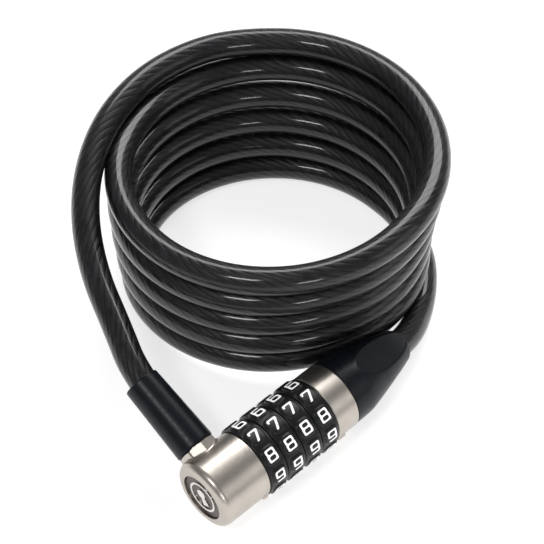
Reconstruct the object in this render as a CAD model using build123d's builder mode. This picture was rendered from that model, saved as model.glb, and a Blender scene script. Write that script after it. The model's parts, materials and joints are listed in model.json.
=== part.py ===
"""Four-dial combination cable lock with a coiled, plastic-clad steel cable.

The lock lies on its side. +X runs along its axis from the head to the rear boot, +Y is the
side that the cable plug goes in from, +Z is up, and the surface that it lies on is Z = 0.
The origin is under the middle of the lock's own box, with the cable and its plug left out.
"""

from build123d import *
import math
import os

# Driving dimensions, in millimetres and degrees.
head_radius = 12.5
head_length = 19.6
dial_count = 4
dial_pitch = 7.95
dial_crown = 13.5
ring_length = 9.4
boot_length = 31.6
cable_diameter = 10.0
digits = 10
index_angle = 116.2

# Stations along the lock's axis, counted from the head's end face.
dials_start = head_length
dials_end = dials_start + dial_count * dial_pitch
ring_end = dials_end + ring_length
boot_end = ring_end + boot_length
plug_station = 9.85

# The plug goes in across the head, tilted up from the horizontal.
plug_tilt = 21.0
pin_radius = 4.8
boss_radius = 7.2
boss_reach = 14.1
boss_chamfer = 0.3
tilt_cos = math.cos(math.radians(plug_tilt))
tilt_sin = math.sin(math.radians(plug_tilt))

# Finger scallops between the dials' digits: round-bottomed grooves along the lock.
scallop_radius = 1.9
scallop_centre = 14.9

# The box of the lock without its cable sets where the origin is. The lock lies on its dials.
boot_overhang = 1.636
lock_length = boot_end + boot_overhang
boss_edge = boss_reach * tilt_cos + (boss_radius - boss_chamfer) * tilt_sin
head_end = -lock_length / 2
axis_y = (dial_crown - boss_edge) / 2
axis_z = dial_crown


def from_head(x, y=0.0, z=axis_z):
    """A point given from the head's end face, the lock's axis and the surface below."""
    return Vector(head_end + x, axis_y + y, z)


def across(x):
    """The plane across the lock's axis at a station, with Y to its right and Z up."""
    return Plane(origin=from_head(x), x_dir=(0, 1, 0), z_dir=(1, 0, 0))


lock_axis = Axis(from_head(0), (1, 0, 0))
lock_section = Plane(origin=from_head(0), x_dir=(1, 0, 0), z_dir=(0, -1, 0))
plug_direction = Vector(0, tilt_cos, tilt_sin)
plug_origin = from_head(plug_station)
plug_axis = Axis(plug_origin, plug_direction)
plug_section = Plane(origin=plug_origin, x_dir=plug_direction, z_dir=(0, tilt_sin, -tilt_cos))


def half_profile(section, *points):
    """A closed outline of (along, out) points, ready to be revolved."""
    with BuildSketch(section) as outline:
        with BuildLine():
            Polyline(*points, close=True)
        make_face()
    return outline.sketch


def sleeve(start, end, inner, outer):
    """The half profile of a plain sleeve about the lock's axis."""
    return half_profile(lock_section, (start, inner), (end, inner), (end, outer), (start, outer))


def plug_sleeve(start, end, inner, outer):
    """The half profile of a plain sleeve about the plug's axis."""
    return half_profile(plug_section, (start, inner), (end, inner), (end, outer), (start, outer))


# Cable routes, from inside the plug's ferrule and from inside the rear boot to the coil.
cable_radius = cable_diameter / 2
plug_crimp_end = 28.2
boot_crimp_end = 68.8
plug_tail_start = plug_origin + plug_direction * plug_crimp_end
plug_tail_points = [
    plug_tail_start,
    plug_origin + plug_direction * 45.8,
    from_head(16.7, 60.1, 34.6),
    from_head(23.5, 79.6, 40.2),
    from_head(35.3, 98.6, 46.6),
    from_head(51.5, 113.4, 51.6),
    from_head(70.5, 123.1, 54.8),
    from_head(91.9, 127.0, 56.0),
    from_head(113.7, 123.7, 56.0),
    from_head(129.0, 114.8, 56.0),
]
lock_tail_points = [
    from_head(boot_crimp_end),
    from_head(86.5),
    from_head(100.9, 2.4, 9.0),
    from_head(114.3, 9.8, 5.0),
    from_head(125.7, 18.4, 5.0),
    from_head(134.4, 28.2, 5.0),
    from_head(140.0, 41.1, 5.0),
    from_head(142.2, 55.0, 5.2),
]


def bend_radii(points):
    """The largest radius that each corner's two runs allow."""
    radii = []
    for before, corner, after in zip(points, points[1:], points[2:]):
        turn = (corner - before).get_angle(after - corner)
        shorter = min((corner - before).length, (after - corner).length)
        radii.append(0.45 * shorter / math.tan(math.radians(turn / 2)))
    return radii


def cable_path(name, points):
    """A route of straight runs joined by tangent arcs."""
    radii = bend_radii(points)
    print(name, "bend radii", [round(r, 1) for r in radii])
    with BuildLine() as route:
        FilletPolyline(*points, radius=radii)
    return route.wires()[0]


def cable_tube(path, radius):
    """The cable's outside, or the clearance for it, along a route."""
    with BuildPart(mode=Mode.PRIVATE) as tube:
        with BuildSketch(Plane(origin=path @ 0, z_dir=path % 0)):
            Circle(radius)
        sweep(path=path)
    return tube.part


plug_tail_path = cable_path("plug tail", plug_tail_points)
lock_tail_path = cable_path("lock tail", lock_tail_points)

# Head: a solid casting with a cross bore for the plug's pin, a small bore for the bolt's tip
# and a socket for the core tube.
head_round = 2.6
badge_radius = 8.6
badge_recess = 2.0
pin_bore_radius = pin_radius + 0.06
pin_bottom = -6.0
tip_radius = 1.8
core_radius = 5.5
core_bore = 3.1
core_start = 15.7
socket_fit = 0.03
ridge_radius = 1.6
ridge_centre = 11.75
ridge_inset = 0.2
head_ridge_length = 2.8
ring_ridge_length = 4.0
boss_root = 0.8
boss_sides = 8
boss_foot = 6.0
boss_flat = 6.8
flat_floor = head_radius + 0.3
edge_round = 0.4


def index_ridge(start, end):
    """The raised reading mark, a round-ended ridge along the lock on the low front side."""
    out = math.radians(index_angle)
    foot = Vector(0, -math.sin(out), math.cos(out)) * ridge_centre
    with BuildPart(mode=Mode.PRIVATE) as ridge:
        with BuildSketch(Plane(origin=from_head(start) + foot, x_dir=(0, 1, 0), z_dir=(1, 0, 0))):
            Circle(ridge_radius)
        extrude(amount=end - start)
        fillet(ridge.edges(), ridge_radius * 0.6)
    return ridge.part


def boss_flats():
    """What is cut away to leave eight flats round the boss, down to just above the head."""
    with BuildPart(mode=Mode.PRIVATE) as waste:
        with BuildSketch(Plane(origin=plug_origin, x_dir=(1, 0, 0), z_dir=plug_direction)):
            Circle(boss_radius + 2)
            RegularPolygon(boss_flat, boss_sides, major_radius=False, mode=Mode.SUBTRACT)
        extrude(amount=boss_reach + 1)
        revolve(sleeve(-1, head_length, 0, flat_floor), axis=lock_axis, mode=Mode.SUBTRACT)
    return waste.part


with BuildPart() as head_housing:
    revolve(half_profile(lock_section, (0, 0), (head_length, 0), (head_length, head_radius),
                         (0, head_radius)), axis=lock_axis)
    fillet(head_housing.faces().sort_by(Axis.X)[0].edges(), head_round)
    fillet(head_housing.faces().sort_by(Axis.X)[-1].edges(), edge_round)
    revolve(half_profile(plug_section, (boss_foot, 0), (boss_reach, 0),
                         (boss_reach, boss_radius - boss_chamfer),
                         (boss_reach - boss_chamfer, boss_radius), (boss_foot, boss_radius)),
            axis=plug_axis)
    root = [edge for edge in head_housing.edges()
            if edge.geom_type not in (GeomType.LINE, GeomType.CIRCLE)]
    fillet(root, boss_root)
    add(boss_flats(), mode=Mode.SUBTRACT)
    add(index_ridge(head_length - head_ridge_length, head_length - ridge_inset))
    revolve(sleeve(-1, badge_recess, 0, badge_radius), axis=lock_axis, mode=Mode.SUBTRACT)
    revolve(plug_sleeve(pin_bottom - 0.4, boss_reach + 1, 0, pin_bore_radius), axis=plug_axis,
            mode=Mode.SUBTRACT)
    revolve(sleeve(plug_station, core_start, 0, tip_radius + 0.08), axis=lock_axis,
            mode=Mode.SUBTRACT)
    revolve(sleeve(core_start, head_length + 1, 0, core_radius + socket_fit), axis=lock_axis,
            mode=Mode.SUBTRACT)
    mouth_edge = head_housing.edges().filter_by(GeomType.CIRCLE).filter_by(
        lambda edge: abs(edge.radius - pin_bore_radius) < 0.01).sort_by(plug_axis)[-1]
    chamfer(mouth_edge, boss_chamfer)

# Badge plate: a dished disc let into the head's end, its face below the rim.
badge_face = 0.7
with BuildPart() as head_badge:
    revolve(sleeve(badge_face, badge_recess, 0, badge_radius - 0.08), axis=lock_axis)
    chamfer(head_badge.faces().sort_by(Axis.X)[0].edges(), 0.25)

# Core tube: carries the code rings; the bolt's teeth run in its open slot at the top, and
# the click spring lies in a groove underneath.
core_end = 64.6
fin_width = 1.9
fin_slot = 2.2
strip_width = 1.6
strip_bottom = 4.8
strip_groove_end = dials_end + 2.0
ring_pin_station = 62.8
ring_pin_radius = 0.8


def radial_pin(station, start, end, radius):
    """A pair of pins across the lock, one on each side, from one radius out to another."""
    with BuildPart(mode=Mode.PRIVATE) as pins:
        with BuildSketch(Plane(origin=from_head(station), z_dir=(0, 1, 0)).offset(start)):
            Circle(radius)
        extrude(amount=end - start)
        mirror(about=Plane(origin=from_head(station), z_dir=(0, 1, 0)))
    return pins.part


with BuildPart() as core_tube:
    revolve(sleeve(core_start, core_end, core_bore, core_radius), axis=lock_axis)
    with BuildSketch(across(head_length + 0.4)):
        with Locations((0, core_radius)):
            Rectangle(fin_slot, 2 * core_radius)
    extrude(amount=core_end, mode=Mode.SUBTRACT)
    with BuildSketch(across(head_length)):
        with Locations((0, -strip_bottom - core_radius)):
            Rectangle(strip_width + 0.2, 2 * core_radius)
    extrude(amount=strip_groove_end - head_length, mode=Mode.SUBTRACT)
    add(radial_pin(ring_pin_station, core_bore - 1, core_radius + 1, ring_pin_radius + 0.03),
        mode=Mode.SUBTRACT)

# Bolt: a round spindle with one tooth for each code ring. At rest it is drawn back, with
# every tooth just behind its ring's flange; it travels forward through the gates.
bolt_travel = 2.4
bolt_radius = 3.0
tip_rest = plug_station + pin_radius + 0.15
shoulder = core_start + bolt_travel + 0.2
bolt_end = 52.6
fin_reach = 6.9
fin_length = 0.8
flange_length = 1.2
side_play = 0.2

with BuildPart() as bolt:
    revolve(half_profile(lock_section, (tip_rest, 0), (tip_rest, tip_radius - 0.5),
                         (tip_rest + 0.5, tip_radius), (shoulder, tip_radius),
                         (shoulder, bolt_radius), (bolt_end, bolt_radius), (bolt_end, 1.4),
                         (bolt_end + 2.0, 1.4), (bolt_end + 2.0, 0)), axis=lock_axis)
    for number in range(dial_count):
        middle = dials_start + dial_pitch * (number + 0.5)
        with BuildSketch(across(middle + flange_length / 2 + side_play)):
            with Locations((0, fin_reach / 2)):
                Rectangle(fin_width, fin_reach)
        extrude(amount=fin_length)

# Bolt spring and its seat: the spring pushes the bolt towards the plug's pin.
spring_seat_start = 59.5
spring_wire = 0.55
spring_radius = 2.2
spring_turns = 5
with BuildPart() as spring_seat:
    revolve(half_profile(lock_section, (spring_seat_start, 0), (core_end - 0.4, 0),
                         (core_end - 0.4, 2.0), (core_end - 1.2, core_bore - 0.05),
                         (spring_seat_start, core_bore - 0.05)), axis=lock_axis)
    with BuildSketch(across(core_end - 0.4)):
        Rectangle(0.8, 3.4)
    extrude(amount=-1.0, mode=Mode.SUBTRACT)
    add(radial_pin(ring_pin_station, 2.3, core_radius, ring_pin_radius + 0.03),
        mode=Mode.SUBTRACT)

with BuildPart() as bolt_spring:
    spring_room = spring_seat_start - bolt_end - 2 * spring_wire
    with BuildLine() as coil_line:
        Helix(pitch=spring_room / spring_turns, height=spring_room, radius=spring_radius,
              center=from_head(bolt_end + spring_wire), direction=(1, 0, 0))
    spring_path = coil_line.wires()[0]
    with BuildSketch(Plane(origin=spring_path @ 0, z_dir=spring_path % 0)):
        Circle(spring_wire / 2)
    sweep(path=spring_path, is_frenet=True)

# Click spring: a sprung strip under the core with one hump for each code ring.
strip_thickness = 0.35
relief_radius = 7.3
notch_depth = 0.4
notch_inset = 1.1
hump_rise = 0.1
hump_offset = 2.2
hump_half = 1.3
with BuildPart() as click_spring:
    strip_low = -strip_bottom
    strip_out = -(strip_bottom + strip_thickness)
    crest = -(relief_radius + hump_rise)
    top_line = [(dials_start + 0.4, strip_low)]
    for number in range(dial_count):
        hump = dials_start + dial_pitch * (number + 0.5) + hump_offset
        top_line += [(hump - hump_half, strip_low), (hump - 0.35, crest + strip_thickness),
                     (hump + 0.35, crest + strip_thickness), (hump + hump_half, strip_low)]
    top_line.append((strip_groove_end - 0.4, strip_low))
    low_line = [(strip_groove_end - 0.4, strip_out)]
    for number in reversed(range(dial_count)):
        hump = dials_start + dial_pitch * (number + 0.5) + hump_offset
        low_line += [(hump + hump_half + 0.12, strip_out), (hump + 0.45, crest),
                     (hump - 0.45, crest), (hump - hump_half - 0.12, strip_out)]
    low_line.append((dials_start + 0.4, strip_out))
    with BuildSketch(lock_section):
        with BuildLine():
            Polyline(*top_line, *low_line, close=True)
        make_face()
    extrude(amount=strip_width / 2, both=True)

# Code rings: each turns on the core tube by its flange, which has one gate for the tooth.
# Ten notches inside take the click spring and ten keys outside drive with the dial.
dial_gap = 0.4
ring_width = dial_pitch - dial_gap
code_radius = 8.6
gate_width = 2.6
key_width = 1.5
key_height = 0.6


def code_ring(number):
    """One code ring, its gate at the top, where the open code leaves it."""
    middle = dials_start + dial_pitch * (number + 0.5)
    start = middle - ring_width / 2
    end = middle + ring_width / 2
    half = flange_length / 2
    with BuildPart() as ring:
        revolve(half_profile(lock_section, (start, relief_radius), (middle - half, relief_radius),
                             (middle - half, core_radius + 0.08),
                             (middle + half, core_radius + 0.08), (middle + half, relief_radius),
                             (end, relief_radius), (end, code_radius), (start, code_radius)),
                axis=lock_axis)
        with BuildSketch(across(start)):
            with PolarLocations(code_radius, digits, start_angle=90 + 180 / digits):
                Rectangle(2 * key_height, key_width)
        extrude(amount=ring_width)
        for side in (start, middle + half):
            with BuildSketch(across(side)):
                with PolarLocations(relief_radius - notch_inset, digits, start_angle=90):
                    Circle(notch_inset + notch_depth)
            extrude(amount=ring_width / 2 - half, mode=Mode.SUBTRACT)
        with BuildSketch(across(middle - half)):
            with Locations((0, relief_radius / 2 + 1.2)):
                Rectangle(gate_width, relief_radius)
        extrude(amount=flange_length, mode=Mode.SUBTRACT)
    return ring.part


# Dials: barrel-shaped number wheels with ten pads and a finger scallop between each pair.
dial_shoulder = 12.7
pad_half = 2.6


def number_dial(number):
    """One number wheel, keyed over its code ring."""
    middle = dials_start + dial_pitch * (number + 0.5)
    start = middle - ring_width / 2
    end = middle + ring_width / 2
    bore = code_radius + 0.08
    with BuildPart() as dial:
        revolve(half_profile(lock_section, (start, bore), (end, bore), (end, dial_shoulder),
                             (middle + pad_half, dial_crown), (middle - pad_half, dial_crown),
                             (start, dial_shoulder)), axis=lock_axis)
        with BuildSketch(across(start)):
            with PolarLocations(scallop_centre, digits,
                                start_angle=90 + index_angle + 180 / digits):
                Circle(scallop_radius)
        extrude(amount=ring_width, mode=Mode.SUBTRACT)
        with BuildSketch(across(start)):
            with PolarLocations(code_radius, digits, start_angle=90 + 180 / digits):
                Rectangle(2 * key_height + 0.2, key_width + 0.2)
        extrude(amount=ring_width, mode=Mode.SUBTRACT)
    return dial.part


code_rings = [code_ring(number) for number in range(dial_count)]
dials = [number_dial(number) for number in range(dial_count)]

# Spacer washers between the code rings, notched so that the bolt's teeth can be put in.
washer_thickness = 0.2
with BuildPart() as spacer_washers:
    for number in range(1, dial_count):
        station = dials_start + dial_pitch * number
        with BuildSketch(across(station - washer_thickness / 2)):
            Circle(8.4)
            Circle(core_radius + 0.08, mode=Mode.SUBTRACT)
            with Locations((0, relief_radius / 2 + 1.2)):
                Rectangle(gate_width, relief_radius, mode=Mode.SUBTRACT)
        extrude(amount=washer_thickness)

# End ring: closes the stack of dials, and its spigot carries the boot and the cable crimp.
ring_radius = 12.6
spigot_radius = 9.6
spigot_end = 67.6
crimp_flange_radius = 8.0
anchor_pin_station = 66.2
with BuildPart() as end_ring:
    revolve(half_profile(lock_section, (dials_end, core_radius + socket_fit),
                         (core_end, core_radius + socket_fit),
                         (core_end, crimp_flange_radius + 0.05),
                         (spigot_end, crimp_flange_radius + 0.05), (spigot_end, spigot_radius),
                         (ring_end, spigot_radius), (ring_end, ring_radius),
                         (dials_end, ring_radius)), axis=lock_axis)
    rim_edges = end_ring.edges().filter_by(GeomType.CIRCLE).filter_by(
        lambda edge: abs(edge.radius - ring_radius) < 0.01)
    fillet(rim_edges, edge_round)
    add(index_ridge(dials_end + ridge_inset, dials_end + ring_ridge_length))
    with BuildSketch(across(dials_end)):
        Circle(core_radius + socket_fit)
    extrude(amount=ring_length, mode=Mode.SUBTRACT)
    add(radial_pin(ring_pin_station, core_radius - 1, spigot_radius + 1, ring_pin_radius + 0.03),
        mode=Mode.SUBTRACT)
    add(radial_pin(anchor_pin_station, crimp_flange_radius - 1, spigot_radius + 1,
                   ring_pin_radius + 0.03), mode=Mode.SUBTRACT)

with BuildPart() as ring_pins:
    add(radial_pin(ring_pin_station, 2.4, spigot_radius - 0.1, ring_pin_radius))

# Rear crimp: a flanged steel sleeve pressed on the bare strands at the cable's fixed end.
crimp_radius = 6.0
strand_radius = 3.4
strand_start = core_end + 1.2
with BuildPart() as rear_crimp:
    revolve(half_profile(lock_section, (core_end + 0.1, 0), (core_end + 0.1, crimp_flange_radius),
                         (spigot_end - 0.1, crimp_flange_radius), (spigot_end - 0.1, crimp_radius),
                         (boot_crimp_end, crimp_radius), (boot_crimp_end, strand_radius + 0.02),
                         (strand_start, strand_radius + 0.02), (strand_start, 0)),
            axis=lock_axis)
    add(radial_pin(anchor_pin_station, 5.6, crimp_flange_radius + 1, ring_pin_radius + 0.03),
        mode=Mode.SUBTRACT)

with BuildPart() as anchor_pins:
    add(radial_pin(anchor_pin_station, 5.7, spigot_radius - 0.1, ring_pin_radius))

with BuildPart() as rear_strands:
    revolve(sleeve(strand_start, boot_crimp_end, 0, strand_radius), axis=lock_axis)

# Rear boot: a moulded cone over the spigot that bends with the cable at its mouth, with a
# flattened tongue for the thumb on top.
boot_radius = 12.45
boot_straight = 8.0
boot_mouth_radius = 6.4
tongue_start = 75.5
tongue_round = 4.5
tongue_depth = 1.3
tongue_roll = 27.0
mouth_along = boot_end - boot_crimp_end
mouth_plane = Plane(
    origin=lock_tail_path.position_at(mouth_along, position_mode=PositionMode.LENGTH),
    z_dir=lock_tail_path.tangent_at(mouth_along, position_mode=PositionMode.LENGTH))
cone_start = ring_end + boot_straight
cone_slope = (boot_radius - boot_mouth_radius) / (boot_end - cone_start)
tongue_out = boot_radius - cone_slope * (tongue_start - cone_start) - tongue_depth
tongue_up = Vector(0, -math.sin(math.radians(tongue_roll)), math.cos(math.radians(tongue_roll)))
tongue_plane = Plane(origin=from_head(tongue_start) + tongue_up * tongue_out,
                     x_dir=Vector(1, 0, 0) - tongue_up * cone_slope,
                     z_dir=tongue_up + Vector(cone_slope, 0, 0))
with BuildPart() as rear_boot:
    with BuildSketch(across(ring_end + 0.05)):
        Circle(boot_radius)
    extrude(amount=boot_straight)
    with BuildSketch(across(ring_end + 0.05 + boot_straight)):
        Circle(boot_radius)
    with BuildSketch(mouth_plane):
        Circle(boot_mouth_radius)
    loft(ruled=True)
    fillet(rear_boot.faces().sort_by(Axis.X)[-1].edges(), 0.6)
    with BuildSketch(tongue_plane):
        with Locations((boot_length / 2, 0)):
            SlotOverall(boot_length, 2 * tongue_round)
    extrude(amount=boot_radius, mode=Mode.SUBTRACT)
    revolve(half_profile(lock_section, (ring_end - 1, 0), (ring_end - 1, spigot_radius + 0.1),
                         (spigot_end + 0.1, spigot_radius + 0.1),
                         (spigot_end + 0.1, crimp_radius + 0.1),
                         (boot_crimp_end + 0.1, crimp_radius + 0.1),
                         (boot_crimp_end + 0.1, 0)), axis=lock_axis, mode=Mode.SUBTRACT)
    add(cable_tube(lock_tail_path, cable_radius + 0.08), mode=Mode.SUBTRACT)

# Plug: a steel pin with a locking groove and a collar, screwed into the crimp on the cable's
# free end, all inside a moulded ferrule.
groove_half = 2.1
groove_radius = 2.4
groove_slope = 0.9
collar_radius = 6.0
collar_end = 15.8
shank_radius = 3.0
shank_end = 20.8
seat_gap = 0.1
seal_station = 11.5
seal_section = 0.7
collar_start = boss_reach + seat_gap
with BuildPart() as plug_pin:
    revolve(half_profile(plug_section, (pin_bottom, 0), (pin_bottom, pin_radius - 1),
                         (pin_bottom + 1, pin_radius), (-groove_half - groove_slope, pin_radius),
                         (-groove_half, groove_radius), (groove_half, groove_radius),
                         (groove_half + groove_slope, pin_radius),
                         (seal_station - 0.9, pin_radius), (seal_station - 0.9, 3.3),
                         (seal_station + 0.9, 3.3), (seal_station + 0.9, pin_radius),
                         (collar_start, pin_radius), (collar_start, collar_radius),
                         (collar_end, collar_radius), (collar_end, shank_radius),
                         (shank_end, shank_radius), (shank_end, 0)), axis=plug_axis)

with BuildPart() as plug_seal:
    with BuildSketch(plug_section):
        with Locations((seal_station, pin_radius - seal_section)):
            Circle(seal_section)
    revolve(axis=plug_axis)

plug_crimp_radius = 5.7
crimp_start = collar_end + 0.1
plug_strand_start = shank_end + 1.0
with BuildPart() as plug_crimp:
    revolve(half_profile(plug_section, (crimp_start, shank_radius + 0.02),
                         (shank_end + 0.1, shank_radius + 0.02), (shank_end + 0.1, 0),
                         (plug_strand_start, 0), (plug_strand_start, strand_radius + 0.02),
                         (plug_crimp_end - 0.05, strand_radius + 0.02),
                         (plug_crimp_end - 0.05, plug_crimp_radius),
                         (crimp_start, plug_crimp_radius)), axis=plug_axis)

with BuildPart() as plug_strands:
    revolve(plug_sleeve(plug_strand_start, plug_crimp_end - 0.05, 0, strand_radius),
            axis=plug_axis)

ferrule_start = boss_reach + 0.15
ferrule_end = 43.2
ferrule_radius = 7.15
ferrule_mouth_radius = 6.35
ferrule_bore = cable_radius + 0.45
with BuildPart() as plug_ferrule:
    revolve(half_profile(plug_section, (ferrule_start, 0), (ferrule_end, 0),
                         (ferrule_end, ferrule_mouth_radius), (ferrule_start, ferrule_radius)),
            axis=plug_axis)
    fillet(plug_ferrule.faces().sort_by(plug_axis)[0].edges(), 0.9)
    fillet(plug_ferrule.faces().sort_by(plug_axis)[-1].edges(), 0.5)
    revolve(half_profile(plug_section, (ferrule_start - 1, 0),
                         (ferrule_start - 1, collar_radius + 0.05),
                         (collar_end + 0.05, collar_radius + 0.05),
                         (collar_end + 0.05, plug_crimp_radius + 0.05),
                         (plug_crimp_end, plug_crimp_radius + 0.05),
                         (plug_crimp_end, ferrule_bore), (ferrule_end + 1, ferrule_bore),
                         (ferrule_end + 1, 0)), axis=plug_axis, mode=Mode.SUBTRACT)

# Cable: two free tails and the outer shape of its five stacked turns. The stack is a short
# tube one cable thick that narrows downwards and leans towards the lock.
with BuildPart() as cable_plug_tail:
    add(cable_tube(plug_tail_path, cable_radius))

with BuildPart() as cable_lock_tail:
    add(cable_tube(lock_tail_path, cable_radius))

coil_height = 61.0
coil_turn = -43.5
coil_top = from_head(98.8, 67.1, coil_height)
coil_top_reach = (56.1, 55.1)
coil_foot = from_head(92.6, 62.9, 0)
coil_foot_reach = (51.3, 48.2)
with BuildPart() as cable_coil:
    for wall, mode in ((cable_radius, Mode.ADD), (-cable_radius, Mode.SUBTRACT)):
        for middle, (across_reach, back_reach) in ((coil_foot, coil_foot_reach),
                                                   (coil_top, coil_top_reach)):
            with BuildSketch(Plane(origin=middle)):
                Ellipse(across_reach + wall, back_reach + wall, rotation=coil_turn)
        loft(ruled=True, mode=mode)

for tail, path in ((cable_plug_tail, plug_tail_path), (cable_lock_tail, lock_tail_path)):
    expected = math.pi * cable_radius ** 2 * path.length
    print("tail volume", round(tail.part.volume), "expected", round(expected))

pieces = {
    "head_housing": head_housing.part,
    "head_badge": head_badge.part,
    "core_tube": core_tube.part,
    "bolt": bolt.part,
    "bolt_spring": bolt_spring.part,
    "spring_seat": spring_seat.part,
    "click_spring": click_spring.part,
    "spacer_washers": spacer_washers.part,
    "end_ring": end_ring.part,
    "ring_pins": ring_pins.part,
    "rear_crimp": rear_crimp.part,
    "anchor_pins": anchor_pins.part,
    "rear_strands": rear_strands.part,
    "rear_boot": rear_boot.part,
    "plug_pin": plug_pin.part,
    "plug_seal": plug_seal.part,
    "plug_crimp": plug_crimp.part,
    "plug_strands": plug_strands.part,
    "plug_ferrule": plug_ferrule.part,
    "cable_plug_tail": cable_plug_tail.part,
    "cable_lock_tail": cable_lock_tail.part,
    "cable_coil": cable_coil.part,
}
for number in range(dial_count):
    pieces[f"code_ring_{number + 1}"] = code_rings[number]
    pieces[f"dial_{number + 1}"] = dials[number]

os.makedirs("parts", exist_ok=True)
for name, piece in pieces.items():
    piece.label = name
    export_step(piece, f"parts/{name}.step")
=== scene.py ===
"""The looks of a four-dial cable lock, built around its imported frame.

Places are given as at(x, y, z) in millimetres: x from the head's end face along the lock, y from
the lock's axis towards the side that the plug goes in from, z up from the surface it lies on.
"""

import bpy
import bmesh
import json
import math
from mathutils import Matrix, Vector


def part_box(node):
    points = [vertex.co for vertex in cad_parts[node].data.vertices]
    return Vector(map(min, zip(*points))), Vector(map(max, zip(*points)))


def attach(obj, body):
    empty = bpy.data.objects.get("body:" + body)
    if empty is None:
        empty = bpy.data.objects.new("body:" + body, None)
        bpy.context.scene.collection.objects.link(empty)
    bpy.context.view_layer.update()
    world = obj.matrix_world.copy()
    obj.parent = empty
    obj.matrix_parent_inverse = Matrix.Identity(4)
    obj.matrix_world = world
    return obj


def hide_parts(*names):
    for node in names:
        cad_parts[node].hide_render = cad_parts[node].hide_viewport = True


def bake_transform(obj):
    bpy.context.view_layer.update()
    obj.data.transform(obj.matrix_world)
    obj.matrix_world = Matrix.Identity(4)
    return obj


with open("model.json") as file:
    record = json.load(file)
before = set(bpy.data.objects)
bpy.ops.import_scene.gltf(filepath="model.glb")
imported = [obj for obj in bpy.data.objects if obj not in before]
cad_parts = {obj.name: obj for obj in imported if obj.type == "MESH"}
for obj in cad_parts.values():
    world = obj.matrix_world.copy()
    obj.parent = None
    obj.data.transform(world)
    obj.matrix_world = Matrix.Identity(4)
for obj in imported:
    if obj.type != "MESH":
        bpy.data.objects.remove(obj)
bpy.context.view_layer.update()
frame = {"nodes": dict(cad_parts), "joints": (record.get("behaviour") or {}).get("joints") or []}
scene = bpy.context.scene
joints = {joint["name"]: joint for joint in frame["joints"]}

MM = 0.001
HEAD_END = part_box("head_housing")[0].x
AXIS = Vector(joints["dial_1_turn"]["pos_m"])
DIAL_COUNT = 4
DIGIT_COUNT = 10
DIGIT_STEP = math.tau / DIGIT_COUNT
INDEX_ANGLE = math.radians(116.2)
CABLE_DIAMETER = 10.0
CABLE_RADIUS = CABLE_DIAMETER / 2


def at(x, y=0.0, z=AXIS.z / MM):
    """A place in the frame, in metres, from millimetres along, across and above the surface."""
    return Vector((HEAD_END + x * MM, AXIS.y + y * MM, z * MM))


# ---------------------------------------------------------------- camera

VIEW_TARGET = at(73.98, 44.31, 30.0)
VIEW_DISTANCE = 0.7
VIEW_AZIMUTH = math.radians(-43.52)
VIEW_ELEVATION = math.radians(49.95)
VIEW_LENS = 132.8


def look_from(obj, place, target):
    """Puts an object at a place with its -Z towards the target."""
    obj.location = place
    obj.rotation_mode = "QUATERNION"
    obj.rotation_quaternion = (target - place).to_track_quat("-Z", "Y")


def make_camera():
    data = bpy.data.cameras.new("camera")
    data.lens = VIEW_LENS
    data.sensor_width = 36.0
    data.clip_start = 0.01
    camera = bpy.data.objects.new("camera", data)
    scene.collection.objects.link(camera)
    level = math.cos(VIEW_ELEVATION)
    back = Vector((math.sin(VIEW_AZIMUTH) * level, -math.cos(VIEW_AZIMUTH) * level,
                   math.sin(VIEW_ELEVATION)))
    look_from(camera, VIEW_TARGET + back * VIEW_DISTANCE, VIEW_TARGET)
    scene.camera = camera


make_camera()


# ---------------------------------------------------------------- cable route

PLUG_TILT = math.radians(21.0)
PLUG_STATION = 9.85
PLUG_CRIMP_END = 28.2
PLUG_AXIS_END = 45.8


def on_plug(along):
    """A place on the plug's axis, in millimetres, this far from the lock's axis."""
    return (PLUG_STATION, along * math.cos(PLUG_TILT),
            AXIS.z / MM + along * math.sin(PLUG_TILT))


PLUG_TAIL = [
    on_plug(PLUG_CRIMP_END),
    on_plug(PLUG_AXIS_END),
    (16.7, 60.1, 34.6),
    (23.5, 79.6, 40.2),
    (35.3, 98.6, 46.6),
    (51.5, 113.4, 51.6),
    (70.5, 123.1, 54.8),
    (91.9, 127.0, 56.0),
    (113.7, 123.7, 56.0),
]
LOCK_TAIL = [
    (140.0, 41.1, 5.0),
    (134.4, 28.2, 5.0),
    (125.7, 18.4, 5.0),
    (114.3, 9.8, 5.0),
    (100.9, 2.4, 9.0),
    (86.5, 0.0, 13.5),
    (68.8, 0.0, 13.5),
]
COIL_CENTRE = Vector((98.84, 67.16))
COIL_RIGHT = math.radians(-43.52)
COIL_RADIUS = 56.14
COIL_TAPER = 0.974
COIL_FLATTEN = 1.067
COIL_FLATTEN_MORE = 0.416
COIL_SAG = 0.826
COIL_DRIFT_RIGHT = 0.167
COIL_BOW_RIGHT = 1.605
COIL_LEAN = 1.637
COIL_BOW_AWAY = 1.131
COIL_TURNS = 5
COIL_TOP = 56.0
COIL_PITCH = 10.1
COIL_RIPPLE = 0.15
POINTS_PER_TURN = 16
COIL_POINTS = 84
COIL_START = -0.03
BACK_LIFT = 0.8
BACK_OUT = 0.6
BACK_REACH = 0.8
BACK_FROM_TURN = 0.55
BACK_GROWS_OVER = 0.2
BACK_FADES_FROM = 1.2
BACK_FADES_OVER = 4
SPLINE_ORDER = 3
SPLINE_STEPS = 14


def smooth_step(value):
    """A value held between 0 and 1, with soft ends."""
    value = min(max(value, 0.0), 1.0)
    return value * value * (3 - 2 * value)


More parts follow.
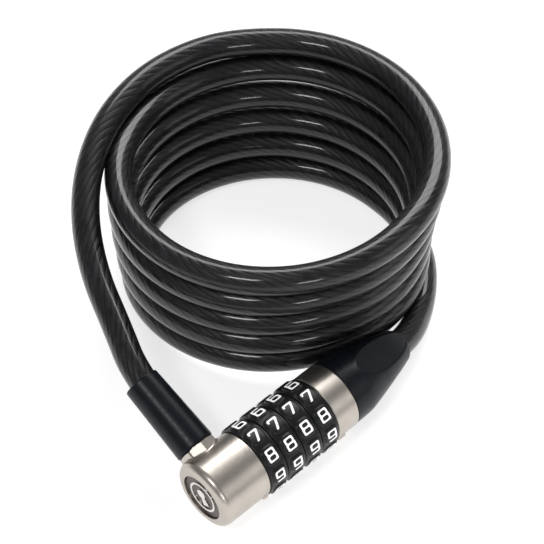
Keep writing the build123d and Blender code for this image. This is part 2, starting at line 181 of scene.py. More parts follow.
def coil_points():
    """The stacked turns, clockwise from the back and down, narrowing and leaning to the lock."""
    right = Vector((math.cos(COIL_RIGHT), math.sin(COIL_RIGHT)))
    away = Vector((-right.y, right.x))
    outside = 1 / math.cos(math.pi / POINTS_PER_TURN)
    points = []
    for number in range(COIL_POINTS):
        turn = COIL_START + number / POINTS_PER_TURN
        angle = math.tau * turn
        bow = 4 * (turn / COIL_TURNS) * (turn / COIL_TURNS - 1)
        at_back = smooth_step(BACK_REACH + BACK_REACH * math.cos(angle))
        grown = smooth_step((turn - BACK_FROM_TURN) / BACK_GROWS_OVER)
        snug = at_back * grown * (1 - max(turn - BACK_FADES_FROM, 0.0) / BACK_FADES_OVER)
        across = (COIL_RADIUS - COIL_TAPER * turn + COIL_SAG * bow
                  + BACK_OUT * snug) * outside
        back = across - COIL_FLATTEN - COIL_FLATTEN_MORE * turn
        centre = (COIL_CENTRE + right * (COIL_BOW_RIGHT * bow - COIL_DRIFT_RIGHT * turn)
                  + away * (COIL_BOW_AWAY * bow - COIL_LEAN * turn))
        place = centre + right * across * math.sin(angle) + away * back * math.cos(angle)
        drop = COIL_PITCH * (turn - COIL_RIPPLE * math.sin(angle)) - BACK_LIFT * snug
        points.append((place.x, place.y, max(COIL_TOP - drop, CABLE_RADIUS)))
    return points


def spline_line(points):
    """Points along the smooth NURBS spline that has these control points."""
    curve = bpy.data.curves.new("route", "CURVE")
    curve.dimensions = "3D"
    spline = curve.splines.new("NURBS")
    spline.points.add(len(points) - 1)
    for control, point in zip(spline.points, points):
        control.co = (*at(*point), 1.0)
    spline.order_u = SPLINE_ORDER
    spline.use_endpoint_u = True
    spline.resolution_u = SPLINE_STEPS
    carrier = bpy.data.objects.new("route", curve)
    scene.collection.objects.link(carrier)
    line_mesh = bpy.data.meshes.new_from_object(carrier)
    line = [vertex.co.copy() for vertex in line_mesh.vertices]
    bpy.data.objects.remove(carrier)
    bpy.data.meshes.remove(line_mesh)
    return line


def new_piece(name, mesh):
    piece = bpy.data.objects.new(name, mesh)
    scene.collection.objects.link(piece)
    return piece


def shade_smooth(mesh):
    mesh.polygons.foreach_set("use_smooth", [True] * len(mesh.polygons))


def finished_mesh(name, shape, smooth=True):
    """The mesh of a bmesh shape, with its normals facing out. The shape is used up."""
    bmesh.ops.recalc_face_normals(shape, faces=shape.faces)
    mesh = bpy.data.meshes.new(name)
    shape.to_mesh(mesh)
    shape.free()
    if smooth:
        shade_smooth(mesh)
    return mesh


def closed_skin(name, loops):
    """A closed skin over equal loops of places, each joined to the next all the way round."""
    shape = bmesh.new()
    columns = [[shape.verts.new(place) for place in loop] for loop in loops]
    for number, this in enumerate(columns):
        following = columns[(number + 1) % len(columns)]
        for index in range(len(this)):
            after = (index + 1) % len(this)
            shape.faces.new((this[index], this[after], following[after], following[index]))
    return finished_mesh(name, shape)


def edge_drop(short, rounding):
    """How far a rounded edge falls away at this distance from the end."""
    if short >= rounding:
        return 0.0
    return rounding - math.sqrt(max(rounding ** 2 - (rounding - short) ** 2, 0.0))


def carried_frames(line):
    """The direction and a side vector at each point of a line, carried along without twist."""
    directions = []
    for index in range(len(line)):
        before = line[max(index - 1, 0)]
        after = line[min(index + 1, len(line) - 1)]
        directions.append((after - before).normalized())
    side = directions[0].orthogonal().normalized()
    sides = [side]
    for old, new in zip(directions, directions[1:]):
        side = old.rotation_difference(new) @ side
        side = (side - new * side.dot(new)).normalized()
        sides.append(side)
    return directions, sides


TUBE_SIDES = 32


def tube_mesh(name, line, radius):
    """A closed tube along a line. Its UVs hold metres along the line and turns around it."""
    directions, sides = carried_frames(line)
    along = [0.0]
    for before, after in zip(line, line[1:]):
        along.append(along[-1] + (after - before).length)
    shape = bmesh.new()
    rings = []
    for point, direction, side in zip(line, directions, sides):
        up = direction.cross(side)
        ring = []
        for step in range(TUBE_SIDES):
            angle = math.tau * step / TUBE_SIDES
            ring.append(shape.verts.new(point + (side * math.cos(angle)
                                                 + up * math.sin(angle)) * radius))
        rings.append(ring)
    uv = shape.loops.layers.uv.new("UVMap")
    for row in range(len(rings) - 1):
        for step in range(TUBE_SIDES):
            following = (step + 1) % TUBE_SIDES
            face = shape.faces.new((rings[row][step], rings[row][following],
                                    rings[row + 1][following], rings[row + 1][step]))
            corners = ((row, step), (row, step + 1), (row + 1, step + 1), (row + 1, step))
            for loop, (ring_number, turn) in zip(face.loops, corners):
                loop[uv].uv = (along[ring_number], turn / TUBE_SIDES)
    shape.faces.new(list(reversed(rings[0])))
    shape.faces.new(rings[-1])
    return finished_mesh(name, shape)


# ---------------------------------------------------------------- materials


class Finish:
    """A material on one Principled shader, with the node steps that its surface is made of."""

    def __init__(self, name, **sockets):
        self.material = bpy.data.materials.new(name)
        self.material.use_nodes = True
        self.tree = self.material.node_tree
        self.shader = self.tree.nodes["Principled BSDF"]
        for socket, value in sockets.items():
            self.set(socket.replace("_", " "), value)

    def set(self, socket, value):
        """Sets a shader socket to a value, or links it to a node's output."""
        target = self.shader.inputs[socket]
        if isinstance(value, bpy.types.NodeSocket):
            self.tree.links.new(value, target)
        elif isinstance(value, tuple) and len(value) == 3:
            target.default_value = (*value, 1.0)
        else:
            target.default_value = value
        return self

    def feed(self, node, socket, value):
        if isinstance(value, bpy.types.NodeSocket):
            self.tree.links.new(value, node.inputs[socket])
        else:
            node.inputs[socket].default_value = value

    def math(self, operation, *values):
        node = self.tree.nodes.new("ShaderNodeMath")
        node.operation = operation
        for index, value in enumerate(values):
            self.feed(node, index, value)
        return node.outputs[0]

    def places(self, stretch=(1.0, 1.0, 1.0)):
        """The surface's own coordinates, in metres, stretched along the axes."""
        source = self.tree.nodes.new("ShaderNodeTexCoord")
        scaled = self.tree.nodes.new("ShaderNodeVectorMath")
        scaled.operation = "MULTIPLY"
        self.tree.links.new(source.outputs["Object"], scaled.inputs[0])
        scaled.inputs[1].default_value = stretch
        return scaled.outputs[0]

    def noise(self, size, detail=3.0, stretch=(1.0, 1.0, 1.0), where=None):
        """Cloudy noise from 0 to 1 whose features are about this many millimetres across."""
        node = self.tree.nodes.new("ShaderNodeTexNoise")
        node.inputs["Scale"].default_value = 1.0 / (size * MM)
        node.inputs["Detail"].default_value = detail
        self.tree.links.new(self.places(stretch) if where is None else where,
                            node.inputs["Vector"])
        return node.outputs["Fac"]

    def spread(self, source, low, high, start=0.3, end=0.7):
        """A 0 to 1 source mapped to lie between two values."""
        node = self.tree.nodes.new("ShaderNodeMapRange")
        for socket, value in (("Value", source), ("From Min", start), ("From Max", end),
                              ("To Min", low), ("To Max", high)):
            self.feed(node, socket, value)
        return node.outputs["Result"]

    def tones(self, source, dark, light, start=0.3, end=0.7):
        """A colour between two, by a 0 to 1 source."""
        node = self.tree.nodes.new("ShaderNodeValToRGB")
        node.color_ramp.elements[0].position = start
        node.color_ramp.elements[0].color = (*dark, 1.0)
        node.color_ramp.elements[1].position = end
        node.color_ramp.elements[1].color = (*light, 1.0)
        self.feed(node, "Fac", source)
        return node.outputs["Color"]

    def bump(self, height, depth, strength=1.0):
        """Relief whose height of 1 stands this many millimetres high."""
        node = self.tree.nodes.new("ShaderNodeBump")
        node.inputs["Strength"].default_value = strength
        node.inputs["Distance"].default_value = depth * MM
        self.feed(node, "Height", height)
        self.set("Normal", node.outputs["Normal"])
        return self


def satin_nickel():
    """Warm plated casting: bead-blasted, with soft wide reflections."""
    finish = Finish("satin_nickel", Metallic=1.0)
    cloud = finish.noise(7.0, 2.0)
    grain = finish.noise(0.35, 2.0)
    finish.set("Base Color", finish.tones(cloud, (0.49, 0.445, 0.395), (0.54, 0.495, 0.445)))
    finish.set("Roughness", finish.spread(finish.noise(1.1, 4.0), 0.31, 0.37))
    return finish.bump(grain, 0.0015).material


def badge_plate():
    """Dark satin plate, brushed straight across."""
    finish = Finish("badge_plate", Metallic=1.0)
    lines = finish.noise(0.12, 3.0, stretch=(1.0, 0.03, 1.0))
    finish.set("Base Color", finish.tones(lines, (0.085, 0.072, 0.066), (0.15, 0.13, 0.12)))
    finish.set("Roughness", finish.spread(finish.noise(0.8), 0.30, 0.42))
    return finish.bump(lines, 0.004).material


def emblem_steel():
    finish = Finish("emblem_steel", Metallic=1.0)
    finish.set("Base Color", finish.tones(finish.noise(1.2), (0.74, 0.71, 0.67),
                                          (0.84, 0.81, 0.77)))
    finish.set("Roughness", finish.spread(finish.noise(0.5), 0.12, 0.2))
    return finish.bump(finish.noise(0.3), 0.003).material


def dial_plastic():
    """Black satin moulding with a fine spark-eroded grain, a little polished by fingers."""
    finish = Finish("dial_plastic", IOR=1.5, Specular_IOR_Level=0.3)
    wear = finish.noise(2.6, 3.0)
    finish.set("Base Color", finish.tones(wear, (0.005, 0.005, 0.0055), (0.010, 0.010, 0.011)))
    finish.set("Roughness", finish.spread(wear, 0.36, 0.27))
    return finish.bump(finish.noise(0.16, 3.0), 0.006).material


def glowing_digit_paint():
    # Painted light: the white digits glow a little by emission, though they are no lamp.
    finish = Finish("glowing_digit_paint", IOR=1.45, Emission_Color=(1.0, 1.0, 1.0),
                    Emission_Strength=0.3)
    finish.set("Base Color", finish.tones(finish.noise(0.7), (0.80, 0.80, 0.79),
                                          (0.90, 0.90, 0.89)))
    finish.set("Roughness", finish.spread(finish.noise(0.4), 0.38, 0.5))
    return finish.bump(finish.noise(0.12), 0.004).material


def soft_moulding():
    """Blue-black soft plastic of the boot and the ferrule."""
    finish = Finish("soft_moulding", IOR=1.5, Specular_IOR_Level=0.24)
    cloud = finish.noise(5.0, 3.0)
    finish.set("Base Color", finish.tones(cloud, (0.003, 0.004, 0.0065), (0.006, 0.0075, 0.011)))
    finish.set("Roughness", finish.spread(finish.noise(1.6, 4.0), 0.30, 0.40))
    return finish.bump(finish.noise(0.22, 3.0), 0.008).material


STRANDS = 12
LAY_LENGTH = 62.0
WIRES = 60
WIRE_LAY = 400.0
STRAND_SHARPNESS = 0.6
WIRE_RELIEF = 0.12


def clad_cable():
    """Smoked clear plastic over right-hand laid steel strands."""
    finish = Finish("clad_cable", Metallic=0.3, IOR=1.4, Coat_Weight=0.9, Coat_Roughness=0.1,
                    Coat_IOR=1.35)
    uv = finish.tree.nodes.new("ShaderNodeUVMap")
    uv.uv_map = "UVMap"
    parts = finish.tree.nodes.new("ShaderNodeSeparateXYZ")
    finish.tree.links.new(uv.outputs["UV"], parts.inputs[0])
    along, around = parts.outputs["X"], parts.outputs["Y"]

    sway = finish.spread(finish.noise(22.0, 1.0), -0.4, 0.4)

    def lays(count, lay):
        """0 in each valley and 1 on each crown of wires laid round the cable, a bit uneven."""
        turns = finish.math("SUBTRACT", finish.math("MULTIPLY", around, float(count)),
                            finish.math("MULTIPLY", along, count / (lay * MM)))
        turns = finish.math("ADD", turns, sway)
        return finish.math("ABSOLUTE", finish.math("SINE", finish.math("MULTIPLY", turns,
                                                                       math.pi)))

    strands = finish.math("POWER", lays(STRANDS, LAY_LENGTH),
                          STRAND_SHARPNESS)
    wires = lays(WIRES, WIRE_LAY)
    blotch = finish.noise(3.0, 4.0)
    cloud = finish.noise(14.0, 2.0)
    # Painted shade and sheen: the base colour is near black in the valleys between strands and
    # lighter on their crowns, with random blotches and clouds over it.
    tone = finish.math("MULTIPLY", finish.math("MULTIPLY", strands,
                                               finish.spread(blotch, 0.45, 1.0)),
                       finish.spread(cloud, 0.5, 1.0))
    finish.set("Base Color", finish.tones(tone, (0.0012, 0.0012, 0.0016), (0.020, 0.020, 0.023),
                                          0.15, 1.0))
    finish.set("Roughness", finish.spread(blotch, 0.34, 0.5))
    height = finish.math("MULTIPLY", finish.math("ADD", strands,
                                                 finish.math("MULTIPLY", wires, WIRE_RELIEF)),
                         finish.spread(cloud, 0.6, 1.0))
    return finish.bump(height, 0.2).material


def turned_metal(name, dark, light, rough):
    """Lathe-turned metal, with fine rings across the lock's axis."""
    finish = Finish(name, Metallic=1.0)
    rings = finish.noise(0.1, 2.0, stretch=(1.0, 0.02, 0.02))
    finish.set("Base Color", finish.tones(rings, dark, light))
    finish.set("Roughness", finish.spread(finish.noise(0.9), rough, rough + 0.1))
    return finish.bump(rings, 0.004).material


def plug_steel():
    """Hardened pin: ground bright, with rings across the plug's own axis."""
    finish = Finish("plug_steel", Metallic=1.0)
    turned = finish.tree.nodes.new("ShaderNodeVectorRotate")
    turned.rotation_type = "X_AXIS"
    turned.inputs["Angle"].default_value = -PLUG_TILT
    finish.tree.links.new(finish.places(), turned.inputs["Vector"])
    scaled = finish.tree.nodes.new("ShaderNodeVectorMath")
    scaled.operation = "MULTIPLY"
    scaled.inputs[1].default_value = (0.02, 1.0, 0.02)
    finish.tree.links.new(turned.outputs[0], scaled.inputs[0])
    rings = finish.noise(0.1, 2.0, where=scaled.outputs[0])
    finish.set("Base Color", finish.tones(rings, (0.52, 0.52, 0.53), (0.68, 0.68, 0.69)))
    finish.set("Roughness", finish.spread(finish.noise(0.9), 0.2, 0.3))
    return finish.bump(rings, 0.004).material


def spring_wire():
    finish = Finish("spring_wire", Metallic=1.0)
    drawn = finish.noise(0.25, 3.0)
    finish.set("Base Color", finish.tones(drawn, (0.34, 0.34, 0.36), (0.55, 0.55, 0.57)))
    finish.set("Roughness", finish.spread(drawn, 0.25, 0.38))
    return finish.bump(drawn, 0.004).material


def washer_plastic():
    finish = Finish("washer_plastic", IOR=1.43, Subsurface_Weight=0.1)
    finish.set("Base Color", finish.tones(finish.noise(1.5), (0.72, 0.71, 0.66),
                                          (0.80, 0.79, 0.75)))
    finish.set("Roughness", finish.spread(finish.noise(0.8), 0.35, 0.45))
    return finish.bump(finish.noise(0.2), 0.004).material


def seal_rubber():
    finish = Finish("seal_rubber", IOR=1.52)
    finish.set("Base Color", finish.tones(finish.noise(0.8), (0.012, 0.012, 0.012),
                                          (0.022, 0.022, 0.022)))
    finish.set("Roughness", finish.spread(finish.noise(0.5), 0.5, 0.62))
    return finish.bump(finish.noise(0.12), 0.01).material


def bare_strands():
    """Greased wires with a steep twist across the lock's axis."""
    finish = Finish("bare_strands", Metallic=1.0)
    twist = finish.tree.nodes.new("ShaderNodeTexWave")
    twist.bands_direction = "DIAGONAL"
    twist.inputs["Scale"].default_value = 1.0 / (4.0 * MM)
    twist.inputs["Distortion"].default_value = 0.4
    finish.tree.links.new(finish.places(), twist.inputs["Vector"])
    wires = twist.outputs["Fac"]
    # Painted shade and sheen: the colour is darker in the twist's valleys and lighter on its
    # crowns, by the same bands as the relief.
    finish.set("Base Color", finish.tones(wires, (0.16, 0.16, 0.17), (0.44, 0.44, 0.46)))
    finish.set("Roughness", finish.spread(finish.noise(0.8), 0.3, 0.45))
    return finish.bump(wires, 0.15).material


def floor_paper():
    finish = Finish("floor_paper", Specular_IOR_Level=0.1, Emission_Color=(1.0, 1.0, 1.0),
                    Emission_Strength=0.7)
    finish.set("Base Color", finish.tones(finish.noise(40.0), (0.60, 0.60, 0.60),
                                          (0.62, 0.62, 0.62)))
    finish.set("Roughness", finish.spread(finish.noise(10.0), 0.85, 0.95))
    return finish.material


NICKEL = satin_nickel()
SOFT_BLACK = soft_moulding()
HARD_STEEL = turned_metal("hard_steel", (0.5, 0.5, 0.51), (0.64, 0.64, 0.65), 0.24)
BRASS = turned_metal("turned_brass", (0.60, 0.44, 0.20), (0.74, 0.57, 0.29), 0.26)
SPRING = spring_wire()
PLUG_STEEL = plug_steel()
STRAND_STEEL = bare_strands()

NODE_FINISH = {
    "head_housing": NICKEL,
    "end_ring": NICKEL,
    "head_badge": badge_plate(),
    "plug_ferrule": SOFT_BLACK,
    "core_tube": BRASS,
    "spring_seat": BRASS,
    "bolt": HARD_STEEL,
    "ring_pins": HARD_STEEL,
    "anchor_pins": HARD_STEEL,
    "rear_crimp": HARD_STEEL,
    "bolt_spring": SPRING,
    "click_spring": SPRING,
    "spacer_washers": washer_plastic(),
    "rear_strands": STRAND_STEEL,
    "plug_strands": STRAND_STEEL,
    "plug_pin": PLUG_STEEL,
    "plug_crimp": PLUG_STEEL,
    "plug_seal": seal_rubber(),
}
for number in range(1, DIAL_COUNT + 1):
    NODE_FINISH[f"code_ring_{number}"] = BRASS


def paint(piece, material):
    piece.data.materials.clear()
    piece.data.materials.append(material)


for node, material in NODE_FINISH.items():
    paint(frame["nodes"][node], material)
    shade_smooth(frame["nodes"][node].data)


# ---------------------------------------------------------------- cable


def make_cable():
    """One tube for the whole cable. The stretch beside the ferrule follows the plug."""
    line = spline_line(PLUG_TAIL + coil_points() + LOCK_TAIL)
    cable = new_piece("cable", tube_mesh("cable", line, CABLE_RADIUS * MM))
    paint(cable, clad_cable())
    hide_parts("cable_coil", "cable_plug_tail", "cable_lock_tail")
    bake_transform(cable)


make_cable()


# ---------------------------------------------------------------- dials

DIAL_WIDTH = 7.75
DIAL_BORE = 9.3
DIAL_CROWN = 13.5
BARREL_MIDDLE = 13.0
BARREL_DROP = 0.18
PAD_DROP = 0.18
EDGE_ROUND = 0.25
PAD_HALF_WIDTH = 3.25
PAD_HALF_HEIGHT = 3.55
PAD_CORNER = 2.4
PAD_BLEND = 0.55
DIAL_ROWS = 32
DIAL_COLUMNS = 360
BARREL_POWER = 2.5
EDGE_CROWDING = 0.35


def rounded_distance(x, y, half_x, half_y, corner):
    """How far a point lies outside a rounded rectangle; less than 0 inside."""
    out_x = abs(x) - (half_x - corner)
    out_y = abs(y) - (half_y - corner)
    outside = math.hypot(max(out_x, 0.0), max(out_y, 0.0))
    return outside + min(max(out_x, out_y), 0.0) - corner


def pad_top(x):
    """The radius of a pad's gently crowned face at x mm from the dial's middle."""
    return DIAL_CROWN - PAD_DROP * (x / (DIAL_WIDTH / 2)) ** 2


def dial_surface(x, angle):
    """The dial's radius at x mm from its middle and an angle from digit 0's pad."""
    side = abs(x) / (DIAL_WIDTH / 2)
    barrel = BARREL_MIDDLE - BARREL_DROP * side ** BARREL_POWER
    near = (angle + DIGIT_STEP / 2) % DIGIT_STEP - DIGIT_STEP / 2
    away = rounded_distance(x, near * DIAL_CROWN, PAD_HALF_WIDTH, PAD_HALF_HEIGHT, PAD_CORNER)
    rise = 1 - smooth_step(away / PAD_BLEND + 1.0)
    radius = barrel + (pad_top(x) - barrel) * rise
    return radius - edge_drop(DIAL_WIDTH / 2 - abs(x), EDGE_ROUND)


def around(x, angle, radius):
    """A place on the lock, by mm along it, an angle past the index mark and a radius."""
    out = INDEX_ANGLE + angle
    return at(x, -math.sin(out) * radius, AXIS.z / MM + math.cos(out) * radius)


def dial_mesh(middle, play):
    """A number wheel: a barrel with ten raised pads, and a plain bore."""
    half = DIAL_WIDTH / 2
    stations = []
    for row in range(DIAL_ROWS + 1):
        share = row / DIAL_ROWS * 2 - 1
        stations.append(half * math.sin(share * math.pi / 2) * EDGE_CROWDING
                        + half * share * (1 - EDGE_CROWDING))
    loops = []
    for column in range(DIAL_COLUMNS):
        angle = math.tau * column / DIAL_COLUMNS
        turned = angle + play
        loop = [around(middle - half, turned, DIAL_BORE)]
        loop += [around(middle + x, turned, dial_surface(x, angle)) for x in stations]
        loop.append(around(middle + half, turned, DIAL_BORE))
        loops.append(loop)
    return closed_skin("dial", loops)


GLYPH_WIDTH = 3.9
GLYPH_HEIGHT = 5.3
STROKE = 0.72
GLYPH_SQUASH = 0.88
PAINT_TOP = 0.035
PAINT_FOOT = -0.12
W, H, T = GLYPH_WIDTH, GLYPH_HEIGHT, STROKE


def turned_over(outlines):
    """The same outlines after half a turn, as a 9 is to a 6."""
    return [[(W - x, H - y) for x, y in outline] for outline in outlines]


def mirrored(outlines):
    """The same outlines seen in a mirror, as a 2 is to a 5."""
    return [[(W - x, y) for x, y in reversed(outline)] for outline in outlines]


BOWL = 3.3
SIX = [[(0, 0), (W, 0), (W, BOWL), (T, BOWL), (T, H - T), (W - 0.35, H - T), (W - 0.35, H),
        (0, H)],
       [(T, T), (T, BOWL - T), (W - T, BOWL - T), (W - T, T)]]
FIVE = [[(0, 0), (W, 0), (W, BOWL), (T, BOWL), (T, H - T), (W - 0.1, H - T), (W - 0.1, H),
         (0, H), (0, BOWL - T), (W - T, BOWL - T), (W - T, T), (0, T)]]
MIDDLE = H / 2
GLYPHS = {
    0: [[(0, 0), (W, 0), (W, H), (0, H)],
        [(T, T), (T, H - T), (W - T, H - T), (W - T, T)]],
    1: [[(1.45, 0), (2.35, 0), (2.35, H), (1.6, H), (0.45, 4.5), (0.9, 3.9), (1.45, 4.3)]],
    2: mirrored(FIVE),
    3: [[(0, 0), (W, 0), (W, H), (0, H), (0, H - T), (W - T, H - T), (W - T, MIDDLE + T / 2),
         (0.9, MIDDLE + T / 2), (0.9, MIDDLE - T / 2), (W - T, MIDDLE - T / 2), (W - T, T),
         (0, T)]],
    4: [[(0, 1.25), (2.2, 1.25), (2.2, 0), (3.05, 0), (3.05, 1.25), (W, 1.25), (W, 2.05),
         (3.05, 2.05), (3.05, H), (2.1, H), (0, 2.05)],
        [(0.95, 2.05), (2.2, 3.9), (2.2, 2.05)]],
    5: FIVE,
    6: SIX,
    7: [[(0, H), (0, H - 1.5), (T, H - 1.5), (T, H - T), (W - T - 0.2, H - T), (0.95, 0),
         (1.9, 0), (W, H - T), (W, H)]],
    8: [[(0, 0), (W, 0), (W, 2.6), (W - 0.2, 2.75), (W - 0.1, 2.9), (W - 0.1, H), (0.1, H),
         (0.1, 2.9), (0.2, 2.75), (0, 2.6)],
        [(T, T), (T, 2.35), (W - T, 2.35), (W - T, T)],
        [(T + 0.1, 2.35 + T), (T + 0.1, H - T), (W - T - 0.1, H - T), (W - T - 0.1, 2.35 + T)]],
    9: turned_over(SIX),
}
CORNER_ROUND = 0.75
ROUND_STEPS = 5


def rounded_outline(points):
    """An outline with each corner rounded as far as its two runs let it be."""
    rounded = []
    for index, corner in enumerate(points):
        corner = Vector(corner)
        to_last = Vector(points[index - 1]) - corner
        to_next = Vector(points[(index + 1) % len(points)]) - corner
        cut = min(CORNER_ROUND, 0.45 * to_last.length, 0.45 * to_next.length)
        start = corner + to_last.normalized() * cut
        end = corner + to_next.normalized() * cut
        for step in range(ROUND_STEPS + 1):
            t = step / ROUND_STEPS
            rounded.append(start * (1 - t) ** 2 + corner * 2 * t * (1 - t) + end * t ** 2)
    return rounded


def flat_plate(outlines, top, foot):
    """A closed plate cut to outlines in mm, between two heights, as a bmesh."""
    curve = bpy.data.curves.new("plate", "CURVE")
    curve.dimensions = "2D"
    curve.fill_mode = "BOTH"
    curve.extrude = (top - foot) / 2
    for outline in outlines:
        spline = curve.splines.new("POLY")
        spline.points.add(len(outline) - 1)
        for control, point in zip(spline.points, outline):
            control.co = (point[0], point[1], 0.0, 1.0)
        spline.use_cyclic_u = True
    carrier = bpy.data.objects.new("plate", curve)
    scene.collection.objects.link(carrier)
    mesh = bpy.data.meshes.new_from_object(carrier)
    bpy.data.objects.remove(carrier)
    shape = bmesh.new()
    shape.from_mesh(mesh)
    bpy.data.meshes.remove(mesh)
    bmesh.ops.remove_doubles(shape, verts=shape.verts, dist=1e-4)
    bmesh.ops.translate(shape, verts=shape.verts, vec=(0, 0, (top + foot) / 2))
    return shape


SLICE = 0.35


def digits_mesh(middle, play):
    """The ten painted digits of a dial, laid on its pads."""
    joined = bmesh.new()
    for digit, outlines in GLYPHS.items():
        plate = flat_plate([rounded_outline(outline) for outline in outlines], PAINT_TOP,
                           PAINT_FOOT)
        for side, reach in ((Vector((1, 0, 0)), W), (Vector((0, 1, 0)), H)):
            for cut in range(1, math.ceil(reach / SLICE)):
                bmesh.ops.bisect_plane(
                    plate, geom=plate.verts[:] + plate.edges[:] + plate.faces[:],
                    plane_co=side * cut * SLICE, plane_no=side)
        for vertex in plate.verts:
            x = vertex.co.x - W / 2
            angle = -(vertex.co.y - H / 2) * GLYPH_SQUASH / DIAL_CROWN
            radius = pad_top(x) + vertex.co.z
            vertex.co = around(middle + x, angle + digit * DIGIT_STEP + play, radius)
        one = finished_mesh("digit", plate, smooth=False)
        joined.from_mesh(one)
        bpy.data.meshes.remove(one)
    mesh = bpy.data.meshes.new("digits")
    joined.to_mesh(mesh)
    joined.free()
    return mesh


DIAL_PLAY = (-4.3, -0.7, -4.5, -2.5)


def make_dials():
    """The four wheels, each standing a little off its click, as worn dials do."""
    plastic, glowing_white_paint = dial_plastic(), glowing_digit_paint()
    for number, play in enumerate(DIAL_PLAY, 1):
        node = f"dial_{number}"
        middle = (joints[f"{node}_turn"]["pos_m"][0] - HEAD_END) / MM
        wheel = new_piece(f"{node}_wheel", dial_mesh(middle, math.radians(play)))
        paint(wheel, plastic)
        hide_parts(node)
        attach(wheel, node)
        digits = new_piece(f"{node}_digits", digits_mesh(middle, math.radians(play)))
        paint(digits, glowing_white_paint)
        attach(digits, node)


make_dials()


# ---------------------------------------------------------------- rear boot

BOOT_START = 60.86
BOOT_CONE = 68.8
BOOT_END = 92.4
BOOT_RADIUS = 12.45
BOOT_MOUTH_RADIUS = 6.4
BOOT_BEND_START = 77.6
BOOT_MOUTH_ASIDE = 1.0
BOOT_MOUTH_DROP = 1.85
BOOT_SHOULDER = 2.2
BOOT_ROUND = 0.45
BOOT_EDGE_SHARES = (0.1, 0.3, 0.6)
BOOT_STEP = 0.01
BOOT_COLUMNS = 180
BOOT_ROWS = 90
THUMB_ROLL = math.radians(18.0)
THUMB_MIDDLE = 80.8
THUMB_HALF_LENGTH = 12.0
THUMB_HALF_WIDTH = 5.9
BOOT_BORES = [(60.86, 9.75), (67.75, 9.75), (67.75, 6.15), (68.95, 6.15), (68.95, 5.2),
              (92.2, 5.2)]


def boot_centre(x):
    """The boot's own middle, which turns down and aside with the cable near its mouth."""
    bend = max(x - BOOT_BEND_START, 0.0) / (BOOT_END - BOOT_BEND_START)
    return Vector((x, BOOT_MOUTH_ASIDE * bend ** 2, AXIS.z / MM - BOOT_MOUTH_DROP * bend ** 2))


def boot_place(x, angle, radius):
    """A place round the boot, by an angle past the top towards the front."""
    ahead = (boot_centre(x + BOOT_STEP) - boot_centre(x - BOOT_STEP)).normalized()
    up = (Vector((0, 0, 1)) - ahead * ahead.z).normalized()
    back = up.cross(ahead)
    return at(*(boot_centre(x) + (up * math.cos(angle) - back * math.sin(angle)) * radius))


def boot_surface(x, angle):
    """The boot's radius: a straight collar, a cone, and an oval dish for the thumb."""
    slope = (BOOT_RADIUS - BOOT_MOUTH_RADIUS) / (BOOT_END - BOOT_CONE)
    past = x - BOOT_CONE
    bent = (past + math.sqrt(past ** 2 + BOOT_SHOULDER ** 2)) / 2
    radius = BOOT_RADIUS - slope * bent
    near = (angle - THUMB_ROLL + math.pi) % math.tau - math.pi
    reach = min(abs(x - THUMB_MIDDLE) / THUMB_HALF_LENGTH, 1.0)
    half = THUMB_HALF_WIDTH * math.sqrt(1 - reach ** 2) / radius
    if abs(near) < half:
        radius *= math.cos(half) / math.cos(near)
    return radius - edge_drop(min(x - BOOT_START, BOOT_END - x), BOOT_ROUND)


def make_boot():
    """The moulded boot: one closed skin outside and along its stepped bore."""
    stations = [BOOT_START + (BOOT_END - BOOT_START) * row / BOOT_ROWS
                for row in range(BOOT_ROWS + 1)]
    stations += [BOOT_START + BOOT_ROUND * share for share in BOOT_EDGE_SHARES]
    stations += [BOOT_END - BOOT_ROUND * share for share in BOOT_EDGE_SHARES]
    loops = []
    for column in range(BOOT_COLUMNS):
        angle = math.tau * column / BOOT_COLUMNS
        loop = [boot_place(x, angle, boot_surface(x, angle)) for x in sorted(stations)]
        loop += [boot_place(x, angle, radius) for x, radius in reversed(BOOT_BORES)]
        loops.append(loop)
    boot = new_piece("boot_skin", closed_skin("boot_skin", loops))
    paint(boot, SOFT_BLACK)
    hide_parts("rear_boot")
    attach(boot, "lock")


make_boot()


# ---------------------------------------------------------------- emblem on the badge

BADGE_FACE = 0.7
EMBLEM_RISE = 0.35
EMBLEM_FOOT = -0.05
EMBLEM_ROLL = math.radians(-31.7)
EMBLEM_BEVEL = 0.12
RING_OUT = 5.9
RING_IN = 5.1
KEYHOLE_EYE = 1.8
KEYHOLE_EYE_UP = 1.2
KEYHOLE_FOOT = 3.6
KEYHOLE_HALF_TOP = 0.8
KEYHOLE_HALF_FOOT = 1.5
ROUND_POINTS = 72


def circle_outline(radius, up=0.0, start=0.0, end=math.tau, closed=True):
    """Points round a circle, or along half as many steps of an open arc."""
    count = ROUND_POINTS if closed else ROUND_POINTS // 2 + 1
    steps = count if closed else count - 1
    return [(radius * math.cos(start + (end - start) * index / steps),
             up + radius * math.sin(start + (end - start) * index / steps))
            for index in range(count)]


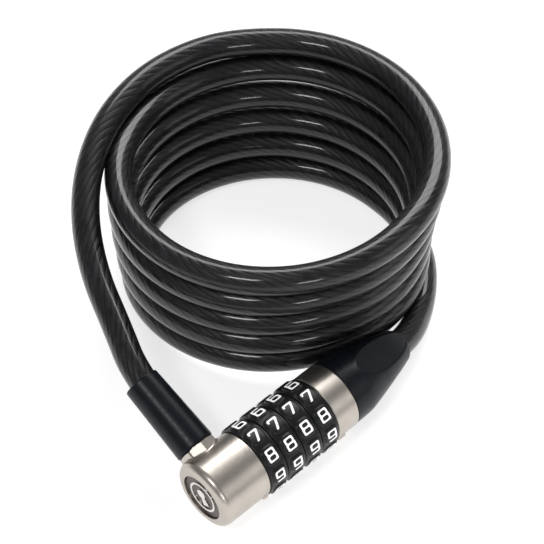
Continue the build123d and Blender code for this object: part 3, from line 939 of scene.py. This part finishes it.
def make_emblem():
    """A plain ring round a keyhole, raised on the badge plate."""
    opening = math.asin(KEYHOLE_HALF_TOP / KEYHOLE_EYE)
    eye = circle_outline(KEYHOLE_EYE, KEYHOLE_EYE_UP, -math.pi / 2 + opening,
                         1.5 * math.pi - opening, closed=False)
    keyhole = eye + [(-KEYHOLE_HALF_FOOT, -KEYHOLE_FOOT), (KEYHOLE_HALF_FOOT, -KEYHOLE_FOOT)]
    outlines = [circle_outline(RING_OUT), circle_outline(RING_IN)[::-1], keyhole]
    plate = flat_plate(outlines, EMBLEM_RISE, EMBLEM_FOOT)
    roll = Matrix.Rotation(EMBLEM_ROLL, 3, "X")
    for vertex in plate.verts:
        spot = roll @ Vector((0.0, -vertex.co.x, vertex.co.y))
        vertex.co = at(BADGE_FACE - vertex.co.z, spot.y, AXIS.z / MM + spot.z)
    emblem = new_piece("head_emblem", finished_mesh("head_emblem", plate, smooth=False))
    bevel = emblem.modifiers.new("edge", "BEVEL")
    bevel.width = EMBLEM_BEVEL * MM
    bevel.segments = 3
    bevel.angle_limit = math.radians(50)
    paint(emblem, emblem_steel())
    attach(emblem, "lock")


make_emblem()


# ---------------------------------------------------------------- floor and light

FLOOR_HALF = 6.0
FLOOR_DROP = 0.0002
WORLD_COLOUR = (0.95, 0.97, 1.0, 1.0)
WORLD_STRENGTH = 0.27


def make_floor():
    mesh = bpy.data.meshes.new("floor")
    corners = [(x * FLOOR_HALF, y * FLOOR_HALF, -FLOOR_DROP)
               for x, y in ((-1, -1), (1, -1), (1, 1), (-1, 1))]
    mesh.from_pydata(corners, [], [(0, 1, 2, 3)])
    floor = new_piece("floor", mesh)
    paint(floor, floor_paper())


def softbox(name, right, forward, up, distance, width, height, power):
    """An area light, placed by how far right, forward and up of the target the camera sees it."""
    ahead = Vector((-math.sin(VIEW_AZIMUTH), math.cos(VIEW_AZIMUTH), 0))
    aside = Vector((ahead.y, -ahead.x, 0))
    direction = (aside * right + ahead * forward + Vector((0, 0, up))).normalized()
    data = bpy.data.lights.new(name, "AREA")
    data.shape = "RECTANGLE"
    data.size = width
    data.size_y = height
    data.energy = power
    lamp = bpy.data.objects.new(name, data)
    scene.collection.objects.link(lamp)
    look_from(lamp, VIEW_TARGET + direction * distance, VIEW_TARGET)


def make_lights():
    world = bpy.data.worlds.new("studio")
    scene.world = world
    world.use_nodes = True
    background = world.node_tree.nodes["Background"]
    background.inputs["Color"].default_value = WORLD_COLOUR
    background.inputs["Strength"].default_value = WORLD_STRENGTH
    softbox("back_box", right=0.2, forward=0.75, up=0.9, distance=1.1,
            width=0.95, height=0.38, power=8.8)
    softbox("side_box", right=0.86, forward=-0.3, up=0.42, distance=1.0,
            width=0.5, height=0.5, power=0.8)
    softbox("left_strip", right=-0.35, forward=-0.55, up=0.9, distance=1.0,
            width=0.24, height=0.13, power=2.2)
    softbox("low_strip", right=0.25, forward=-0.9, up=0.35, distance=1.2,
            width=0.27, height=0.15, power=1.8)


make_floor()
make_lights()
scene.view_settings.view_transform = "Standard"
